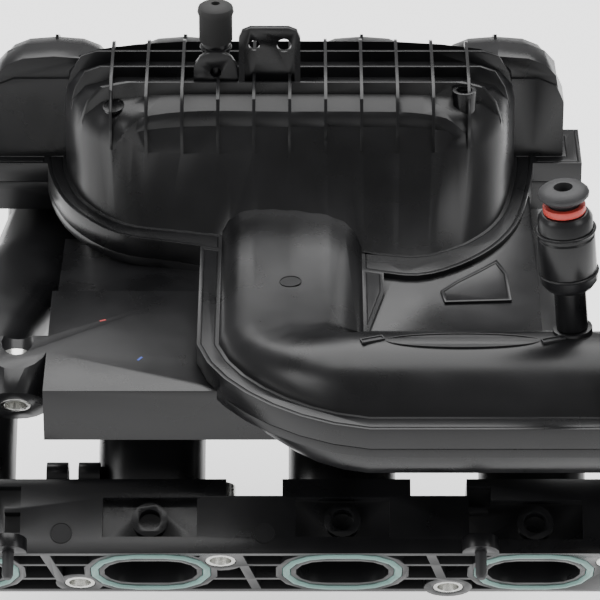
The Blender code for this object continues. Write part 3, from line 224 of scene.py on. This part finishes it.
FINISHES = {
    Slot.BLACK_NYLON: Finish(
        "glass filled nylon", (0.004, 0.004, 0.0045), (0.010, 0.010, 0.011), (0.24, 0.35),
        specular=0.38),
    Slot.DARK_NYLON: Finish(
        "matt nylon", (0.016, 0.016, 0.017), (0.028, 0.028, 0.030), (0.48, 0.60)),
    Slot.ZINC_STEEL: Finish(
        "zinc plate", (0.58, 0.58, 0.56), (0.76, 0.76, 0.73), (0.20, 0.34),
        metallic=1.0, patch=90.0, grain=2200.0, relief=0.00003),
    Slot.BRASS_INSERT: Finish(
        "turned brass", (0.55, 0.38, 0.15), (0.72, 0.53, 0.25), (0.22, 0.36),
        metallic=1.0, patch=90.0),
    Slot.GREEN_SEAL: Finish(
        "green silicone", (0.085, 0.19, 0.165), (0.13, 0.27, 0.24), (0.30, 0.45), coat=0.2),
    Slot.BLACK_RUBBER: Finish(
        "black rubber", (0.011, 0.011, 0.011), (0.021, 0.021, 0.021), (0.60, 0.74)),
    Slot.RED_LATCH: Finish(
        "red moulding", (0.42, 0.035, 0.028), (0.55, 0.060, 0.045), (0.30, 0.42)),
}

RED_INK = Finish("red marking ink", (0.34, 0.02, 0.02), (0.46, 0.05, 0.05), (0.5, 0.65))
BLUE_INK = Finish("blue marking ink", (0.02, 0.05, 0.30), (0.04, 0.09, 0.42), (0.5, 0.65))


def bodies_of_nodes() -> dict[str, str]:
    """Lists the body that carries each node."""
    listed = frame["record"]["behaviour"]["bodies"]
    return {node: body for body, nodes in listed.items() for node in nodes}


def slots_of_nodes() -> dict[str, Slot]:
    """Lists the slot of each node."""
    return {part["node"]: Slot(part["material_slot"]) for part in frame["record"]["subparts"]}


# ---------------------------------------------------------------------------
# Making and finishing pieces
# ---------------------------------------------------------------------------
def only(piece: bpy.types.Object) -> None:
    """Leaves this piece alone selected and active.

    Args:
        piece: the piece.
    """
    bpy.ops.object.select_all(action="DESELECT")
    piece.select_set(True)
    bpy.context.view_layer.objects.active = piece


def soften(piece: bpy.types.Object, width: float, segments: int = 2) -> None:
    """Rounds the sharp edges of a piece.

    Args:
        piece: the piece.
        width: the rounding in metres.
        segments: the steps across it.
    """
    only(piece)
    bevel = piece.modifiers.new("edges", "BEVEL")
    bevel.width = width
    bevel.segments = segments
    bevel.limit_method = "ANGLE"
    bevel.angle_limit = SHARP_ANGLE
    bpy.ops.object.modifier_apply(modifier=bevel.name)


def settle(piece: bpy.types.Object, name: str, slot: Slot,
           body: str = "manifold") -> bpy.types.Object:
    """Names, paints, hands over and reports a finished piece.

    Args:
        piece: the finished piece.
        name: its name.
        slot: its material slot.
        body: the body it moves with.

    Returns:
        the piece.
    """
    only(piece)
    bpy.ops.object.transform_apply(location=True, rotation=True, scale=True)
    bpy.ops.object.shade_smooth_by_angle(angle=SMOOTH_ANGLE)
    piece.name = name
    piece.data.materials.clear()
    piece.data.materials.append(FINISHES[slot].material())
    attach(piece, body)
    LOG.info("made %s: %s, on %s", name, slot.value, body)
    return piece


@dataclass
class MouldedSkins:
    """Smooth-edged skins that stand for the CAD nodes of the fixed and moving mouldings."""

    large_nodes: tuple[str, ...] = (
        "upper_shell", "lower_shell", "head_flange", "throttle_flange", "fitting_body")
    large_edge: float = 0.5 * MM
    small_edge: float = 0.25 * MM
    weld: float = 0.01 * MM
    flat: float = math.radians(0.6)
    rim_top: float = 111.0 * MM
    rim_slack: float = 0.2 * MM
    line_inset: float = 1.8 * MM
    line_side: float = 0.3 * MM
    line_depth: float = 0.4 * MM

    def skin(self, node: str, body: str, slot: Slot, edge: float) -> bpy.types.Object:
        """Copies one node, merges it and rounds its edges.

        Args:
            node: the CAD node.
            body: the body that carries it.
            slot: its material slot.
            edge: the rounding of its edges in metres.

        Returns:
            the skin.
        """
        only(frame["nodes"][node])
        bpy.ops.object.duplicate(linked=False)
        copy = bpy.context.object
        bpy.ops.object.parent_clear(type="CLEAR_KEEP_TRANSFORM")
        bpy.ops.object.mode_set(mode="EDIT")
        bpy.ops.mesh.select_all(action="SELECT")
        bpy.ops.mesh.remove_doubles(threshold=self.weld)
        bpy.ops.mesh.dissolve_limited(angle_limit=self.flat)
        bpy.ops.object.mode_set(mode="OBJECT")
        if node == "upper_shell":
            self.groove(copy)
        if edge:
            soften(copy, edge)
        settle(copy, f"{node}_skin", slot, body)
        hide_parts(node)
        return copy

    def groove(self, shell: bpy.types.Object) -> None:
        """Sinks the fine line that runs along the middle of the rim's top.

        Args:
            shell: the upper shell's skin.
        """
        only(shell)
        bpy.ops.object.mode_set(mode="EDIT")
        bpy.context.tool_settings.mesh_select_mode = (False, False, True)
        bpy.ops.mesh.select_all(action="DESELECT")
        mesh = bmesh.from_edit_mesh(shell.data)
        for face in mesh.faces:
            on_rim = abs(face.calc_center_median().z - self.rim_top) < self.rim_slack
            face.select = on_rim and face.normal.z > LEVEL_FACING
        bmesh.update_edit_mesh(shell.data)
        bpy.ops.mesh.inset(thickness=self.line_inset)
        bpy.ops.mesh.inset(thickness=self.line_side, depth=-self.line_depth)
        bpy.ops.mesh.inset(thickness=self.line_side, depth=self.line_depth)
        bpy.ops.object.mode_set(mode="OBJECT")

    def soft(self, node: str, slot: Slot, joint: dict, change: dict) -> None:
        """Makes a skin with unrounded edges for a node that shortens as a joint moves; the skin
        itself keeps its shape.

        Args:
            node: the CAD node.
            slot: its material slot.
            joint: the record's joint that shortens it; not used.
            change: the joint's entry for this node; not used.
        """
        piece = self.skin(node, "manifold", slot, 0.0)
        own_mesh(piece)

    def build(self) -> None:
        """Makes a skin for each node."""
        bodies = bodies_of_nodes()
        changing = {
            change["node"]: (joint, change)
            for joint in frame["record"]["behaviour"]["joints"]
            for change in joint.get("deforming_nodes", [])
        }
        for node, slot in slots_of_nodes().items():
            if node in changing:
                self.soft(node, slot, *changing[node])
                continue
            large = node in self.large_nodes or node.startswith("runner")
            self.skin(node, bodies[node], slot, self.large_edge if large else self.small_edge)


# ---------------------------------------------------------------------------
# Tools for the small moulded details
# ---------------------------------------------------------------------------
def head_point(x: float, depth: float, up: float) -> Vector:
    """Places a point of the leaning head block.

    Args:
        x: along the ports, in metres.
        depth: away from the head face.
        up: along that face.

    Returns:
        the point in the row frame.
    """
    c, s = math.cos(HEAD_LEAN), math.sin(HEAD_LEAN)
    return Vector((x, depth * c - up * s, depth * s + up * c))


def landing(node: str, x: float, y: float) -> tuple[Vector, Vector]:
    """Finds where a line dropped on a skin first meets it.

    Args:
        node: the node whose skin is met.
        x: where the line drops, along X, in metres.
        y: where it drops, along Y.

    Returns:
        the point met and the surface normal there.

    Raises:
        ValueError: the line misses the skin.
    """
    skin = bpy.data.objects[f"{node}_skin"]
    hit, place, normal, _ = skin.ray_cast(Vector((x, y, DROP_HEIGHT)), DOWN)
    if not hit:
        raise ValueError(f"nothing of {node} lies under {x:.3f}, {y:.3f}")
    return place, normal


def press(piece: bpy.types.Object, edge: float, depth: float, slope: float = 0.1 * MM) -> None:
    """Insets the local top face of a piece and pushes the middle in.

    Args:
        piece: the piece, before its place is applied.
        edge: the width left round it, in metres.
        depth: how far the middle goes in.
        slope: how far the wall of the hollow leans in.
    """
    only(piece)
    bpy.ops.object.mode_set(mode="EDIT")
    bpy.ops.mesh.select_all(action="DESELECT")
    mesh = bmesh.from_edit_mesh(piece.data)
    bpy.context.tool_settings.mesh_select_mode = (False, False, True)
    for face in mesh.faces:
        face.select = face.normal.z > TOP_FACING
    bmesh.update_edit_mesh(piece.data)
    bpy.ops.mesh.inset(thickness=edge)
    bpy.ops.mesh.inset(thickness=slope, depth=-depth)
    bpy.ops.object.mode_set(mode="OBJECT")


def disc(radius: float, height: float, place: Vector, normal: Vector,
         sides: int = 36) -> bpy.types.Object:
    """Adds a round piece centred on a point, its top along the normal.

    Args:
        radius: in metres.
        height: in metres.
        place: its centre.
        normal: the way its top faces.
        sides: its facets.

    Returns:
        the piece.
    """
    bpy.ops.object.select_all(action="DESELECT")
    turn = normal.to_track_quat("Z", "Y").to_euler()
    bpy.ops.mesh.primitive_cylinder_add(
        vertices=sides, radius=radius, depth=height, location=place, rotation=turn)
    return bpy.context.object


def ring(radius: float, section: float, place: Vector, axis: Vector, around: int,
         across: int) -> bpy.types.Object:
    """Adds a round ring centred on a point.

    Args:
        radius: from its axis to the middle of its section, in metres.
        section: the radius of its section.
        place: its centre.
        axis: the way its axis points.
        around: its facets round the axis.
        across: its facets round the section.

    Returns:
        the ring.
    """
    bpy.ops.object.select_all(action="DESELECT")
    bpy.ops.mesh.primitive_torus_add(
        location=place, rotation=axis.to_track_quat("Z", "Y").to_euler(), major_radius=radius,
        minor_radius=section, major_segments=around, minor_segments=across)
    return bpy.context.object


def bar(start: Vector, end: Vector, width: float, height: float,
        top: Vector) -> bpy.types.Object:
    """Adds a straight bar between two points.

    Args:
        start: the middle of one end.
        end: the middle of the other.
        width: across, in metres.
        height: along top, in metres.
        top: the way its top faces.

    Returns:
        the bar.
    """
    along = end - start
    side = top.cross(along).normalized()
    face = along.cross(side).normalized()
    turn = Matrix((along.normalized(), side, face)).transposed().to_euler()
    bpy.ops.object.select_all(action="DESELECT")
    bpy.ops.mesh.primitive_cube_add(size=1, location=(start + end) / 2, rotation=turn)
    piece = bpy.context.object
    piece.scale = (along.length, width, height)
    bpy.ops.object.transform_apply(location=False, rotation=False, scale=True)
    return piece


# ---------------------------------------------------------------------------
# Small moulded details
# ---------------------------------------------------------------------------
@dataclass
class EjectorMarks:
    """The shallow round marks that the mould's ejector pins leave."""

    radius: float = 5.6 * MM
    stand: float = 0.35 * MM
    sink: float = 1.6 * MM
    lip: float = 0.5 * MM
    dish: float = 0.3 * MM
    shell_places: tuple[Pair, ...] = ((-70, 186), (22, 75))
    block_places: Pair = (-92, 9)
    block_depth: float = 11 * MM
    block_up: float = 25 * MM

    def mark(self, name: str, node: str, x: float, y: float) -> None:
        """Adds one mark to a surface.

        Args:
            name: the name of the mark.
            node: the node it lies on.
            x: its place along X, in metres.
            y: its place along Y.
        """
        place, normal = landing(node, x, y)
        centre = place + normal * (self.stand - self.sink / 2)
        piece = disc(self.radius, self.sink, centre, normal)
        press(piece, self.lip, self.dish)
        settle(piece, name, Slot.BLACK_NYLON)

    def build(self) -> None:
        """Adds the marks of the shells and the head block."""
        for number, (x, y) in enumerate(self.shell_places, 1):
            self.mark(f"shell_mark_{number}", "upper_shell", x * MM, y * MM)
        for number, x in enumerate(self.block_places, 1):
            high = head_point(x * MM, self.block_depth, self.block_up)
            self.mark(f"block_mark_{number}", "head_flange", high.x, high.y)


@dataclass
class DuctPanel:
    """The plain lens-shaped flat along the top of the duct, with a slanted slot at each end."""

    ends: Pair = (62 * MM, 150 * MM)
    crown: float = 135.0 * MM
    duct_y: float = -2.0 * MM
    end_gap: float = 6 * MM
    half_width: float = 7.0 * MM
    thickness: float = 1.0 * MM
    sink: float = 0.6 * MM
    lip: float = 0.7 * MM
    dish: float = 0.4 * MM
    sides: int = 48
    slot_length: float = 11.0 * MM
    slot_slant: float = 2.0 * MM
    slot_width: float = 4.0 * MM
    slot_height: float = 1.2 * MM
    slot_lip: float = 0.6 * MM
    slot_dish: float = 0.6 * MM

    def flat(self) -> None:
        """Adds the flat."""
        near, far = self.ends
        middle = Vector(((near + far) / 2, self.duct_y, self.crown - self.sink))
        panel = disc(1.0, self.thickness, middle, UP, self.sides)
        panel.scale = ((far - near) / 2 - self.end_gap, self.half_width, 1)
        bpy.ops.object.transform_apply(location=False, rotation=False, scale=True)
        press(panel, self.lip, self.dish)
        settle(panel, "duct_flat", Slot.BLACK_NYLON)

    def slots(self) -> None:
        """Adds the slanted slots."""
        lean = Vector((self.slot_length / 2, self.slot_slant, 0))
        for number, x in enumerate(self.ends, 1):
            centre = Vector((x, self.duct_y, self.crown))
            slot = bar(centre - lean, centre + lean, self.slot_width, self.slot_height, UP)
            press(slot, self.slot_lip, self.slot_dish)
            settle(slot, f"duct_slot_{number}", Slot.DARK_NYLON)

    def build(self) -> None:
        """Adds the flat and its slots."""
        self.flat()
        self.slots()


@dataclass
class PenMarks:
    """Plain dabs of marking pen left by the inspector, with no lettering."""

    red_place: Pair = (-73 * MM, 80 * MM)
    red_reach: Triple = (1.5, 0.6, 0)
    blue_place: Pair = (-53 * MM, 41 * MM)
    blue_reach: Triple = (1.0, 1.6, 0)
    width: float = 1.1 * MM
    height: float = 0.24 * MM

    def dab(self, name: str, spot: Pair, reach: Triple, ink: Finish) -> None:
        """Adds one dab to the plate.

        Args:
            name: its name.
            spot: its X and Y, in metres.
            reach: half its length as a vector, in millimetres.
            ink: its finish.
        """
        place, normal = landing("lower_shell", *spot)
        half = Vector(reach) * MM
        flat = half - normal * half.dot(normal)
        piece = bar(place - flat, place + flat, self.width, self.height, normal)
        settle(piece, name, Slot.BLACK_NYLON)
        piece.data.materials.clear()
        piece.data.materials.append(ink.material())

    def build(self) -> None:
        """Adds the dabs."""
        self.dab("red_dab", self.red_place, self.red_reach, RED_INK)
        self.dab("blue_dab", self.blue_place, self.blue_reach, BLUE_INK)


@dataclass
class RoofPieces:
    """The bead round the roof pipe and the hollow post at the roof's edge."""

    pipe: Pair = (-17 * MM, 207 * MM)
    bead_height: float = 192 * MM
    bead_radius: float = 7.3 * MM
    bead_section: float = 1.1 * MM
    bead_sides: tuple[int, int] = (40, 12)
    post: Pair = (112 * MM, 187 * MM)
    post_span: Pair = (135 * MM, 177 * MM)
    post_radius: float = 6.2 * MM
    post_wall: float = 2.2 * MM
    post_hollow: float = 9 * MM
    post_edge: float = 0.3 * MM

    def bead(self) -> None:
        """Adds the bead."""
        place = Vector((*self.pipe, self.bead_height))
        piece = ring(self.bead_radius, self.bead_section, place, UP, *self.bead_sides)
        settle(piece, "pipe_bead", Slot.BLACK_NYLON)

    def sleeve(self) -> None:
        """Adds the post."""
        low, high = self.post_span
        column = disc(self.post_radius, high - low, Vector((*self.post, (low + high) / 2)), UP)
        press(column, self.post_wall, self.post_hollow)
        soften(column, self.post_edge)
        settle(column, "roof_post", Slot.BLACK_NYLON)

    def build(self) -> None:
        """Adds the bead and the post."""
        self.bead()
        self.sleeve()


@dataclass
class WebPanel:
    """The raised drop-shaped panel in the web between the duct and the rim."""

    outline: tuple[Pair, ...] = (
        (100, 82), (134, 84), (133, 112), (128, 127), (118, 116), (106, 104), (98, 94))
    start_radius: float = 0.02
    foot: float = 107.0 * MM
    stand: float = 2.4 * MM
    lip: float = 1.8 * MM
    dish: float = 0.7 * MM
    edge: float = 0.4 * MM

    def build(self) -> None:
        """Adds the panel."""
        bpy.ops.object.select_all(action="DESELECT")
        bpy.ops.mesh.primitive_circle_add(
            vertices=len(self.outline), radius=self.start_radius, fill_type="NGON")
        panel = bpy.context.object
        for vertex, (x, y) in zip(panel.data.vertices, self.outline):
            vertex.co = Vector((x * MM, y * MM, self.foot))
        bpy.ops.object.mode_set(mode="EDIT")
        bpy.ops.mesh.select_all(action="SELECT")
        bpy.ops.mesh.extrude_region_move(TRANSFORM_OT_translate={"value": (0, 0, self.stand)})
        bpy.ops.mesh.select_all(action="SELECT")
        bpy.ops.mesh.normals_make_consistent(inside=False)
        bpy.ops.object.mode_set(mode="OBJECT")
        press(panel, self.lip, self.dish)
        soften(panel, self.edge)
        settle(panel, "web_panel", Slot.BLACK_NYLON)


@dataclass
class CrownRibs:
    """The rib along the crest of each runner's crown."""

    centres: tuple[float, ...] = (-104, -35, 60, 132)
    span: Pair = (282, 316)
    steps: int = 6
    width: float = 1.6 * MM
    height: float = 2.4 * MM
    overlap: float = 0.3 * MM

    def rib(self, number: int, x: float) -> None:
        """Adds the rib of one crown, joined from short straight lengths.

        Args:
            number: the crown's number.
            x: the rib's place along X, in millimetres.
        """
        near, far = self.span
        spots = [near + (far - near) * step / self.steps for step in range(self.steps + 1)]
        path = [landing(f"runner_crown_{number}", x * MM, y * MM) for y in spots]
        lengths = []
        for (start, top), (end, _) in zip(path, path[1:]):
            reach = (end - start).normalized() * self.overlap
            lengths.append(bar(start - reach, end + reach, self.width, self.height, top))
        only(lengths[0])
        for length in lengths[1:]:
            length.select_set(True)
        bpy.ops.object.join()
        settle(bpy.context.object, f"crown_rib_{number}", Slot.BLACK_NYLON)

    def build(self) -> None:
        """Adds a rib to each crown."""
        for number, x in enumerate(self.centres, 1):
            self.rib(number, x)


@dataclass
class FittingRings:
    """The two rings round the body of the hose fitting."""

    foot: Triple = (160 * MM, 8 * MM, 135 * MM)
    lean: float = math.radians(-5)
    heights: Pair = (33 * MM, 56 * MM)
    radius: float = 14.0 * MM
    section: float = 0.8 * MM
    sides: tuple[int, int] = (48, 10)

    def build(self) -> None:
        """Adds the rings."""
        axis = Vector((math.sin(self.lean), 0, math.cos(self.lean)))
        for number, height in enumerate(self.heights, 1):
            place = Vector(self.foot) + axis * height
            piece = ring(self.radius, self.section, place, axis, *self.sides)
            settle(piece, f"fitting_line_{number}", Slot.BLACK_NYLON)


@dataclass
class TwinBosses:
    """The pair of short round bosses behind the head block."""

    places: Pair = (-95 * MM, -79 * MM)
    depth: float = 46 * MM
    up: float = 12 * MM
    radius: float = 8 * MM
    length: float = 11 * MM
    lip: float = 2.5 * MM
    dish: float = 3 * MM
    edge: float = 0.5 * MM

    def build(self) -> None:
        """Adds the bosses."""
        sideways = Vector((1, 0, 0))
        for number, x in enumerate(self.places, 1):
            boss = disc(self.radius, self.length, head_point(x, self.depth, self.up), sideways)
            press(boss, self.lip, self.dish)
            soften(boss, self.edge)
            settle(boss, f"rear_boss_{number}", Slot.BLACK_NYLON)


# ---------------------------------------------------------------------------
# Studio
# ---------------------------------------------------------------------------
@dataclass(frozen=True)
class Lamp:
    """One soft square light: its place and side in metres, its power in watts."""

    place: Triple
    side: float
    power: float

    def build(self, aim: Triple) -> None:
        """Adds the light.

        Args:
            aim: the point it shines at.
        """
        bpy.ops.object.light_add(type="AREA", location=self.place)
        lamp = bpy.context.object
        lamp.data.size = self.side
        lamp.data.energy = self.power
        beam = Vector(aim) - Vector(self.place)
        lamp.rotation_euler = beam.to_track_quat("-Z", "Y").to_euler()


@dataclass
class Studio:
    """A pale floor, a bright surround, soft lights and the camera."""

    floor_z: float = -0.10
    floor_side: float = 12.0
    floor_shade: Triple = (0.9, 0.9, 0.9)
    floor_roughness: float = 0.9
    floor_glow: float = 1.1
    surround: float = 0.36
    lamps: tuple[Lamp, ...] = (
        Lamp((0.0, 0.8, 1.7), 2.1, 62), Lamp((-1.6, -0.6, 1.1), 0.8, 9),
        Lamp((1.5, -0.7, 1.2), 0.8, 7))
    aim: Triple = (0, 0.15, 0.05)
    camera_place: Triple = (0.0268, -1.9067, 1.2128)
    camera_tilt: float = math.radians(61)
    lens: float = 270.0
    sensor: float = 36.0
    near_limit: float = 0.05

    def floor(self) -> None:
        """Lays the pale floor."""
        bpy.ops.object.select_all(action="DESELECT")
        bpy.ops.mesh.primitive_plane_add(size=self.floor_side, location=(0, 0, self.floor_z))
        ground = bpy.context.object
        ground.name = "floor"
        paint = bpy.data.materials.new("floor paper")
        paint.use_nodes = True
        shader = paint.node_tree.nodes["Principled BSDF"]
        shader.inputs["Base Color"].default_value = (*self.floor_shade, 1)
        shader.inputs["Roughness"].default_value = self.floor_roughness
        shader.inputs["Emission Color"].default_value = (1, 1, 1, 1)
        shader.inputs["Emission Strength"].default_value = self.floor_glow
        ground.data.materials.append(paint)

    def world(self) -> None:
        """Lights the surround."""
        world = bpy.context.scene.world or bpy.data.worlds.new("studio")
        bpy.context.scene.world = world
        world.use_nodes = True
        background = world.node_tree.nodes["Background"]
        background.inputs["Color"].default_value = (1, 1, 1, 1)
        background.inputs["Strength"].default_value = self.surround

    def camera(self) -> None:
        """Sets up the camera."""
        bpy.ops.object.camera_add(location=self.camera_place, rotation=(self.camera_tilt, 0, 0))
        camera = bpy.context.object
        camera.data.lens = self.lens
        camera.data.sensor_width = self.sensor
        camera.data.clip_start = self.near_limit
        bpy.context.scene.camera = camera

    def build(self) -> None:
        """Sets the floor, surround, lights and camera."""
        self.floor()
        self.world()
        for lamp in self.lamps:
            lamp.build(self.aim)
        self.camera()


def main() -> None:
    """Builds the object and its studio in order."""
    for assembly in (MouldedSkins(), EjectorMarks(), DuctPanel(), PenMarks(), RoofPieces(),
                     WebPanel(), CrownRibs(), FittingRings(), TwinBosses(), Studio()):
        LOG.info("building %s", type(assembly).__name__)
        assembly.build()


if __name__ == "__main__":
    main()
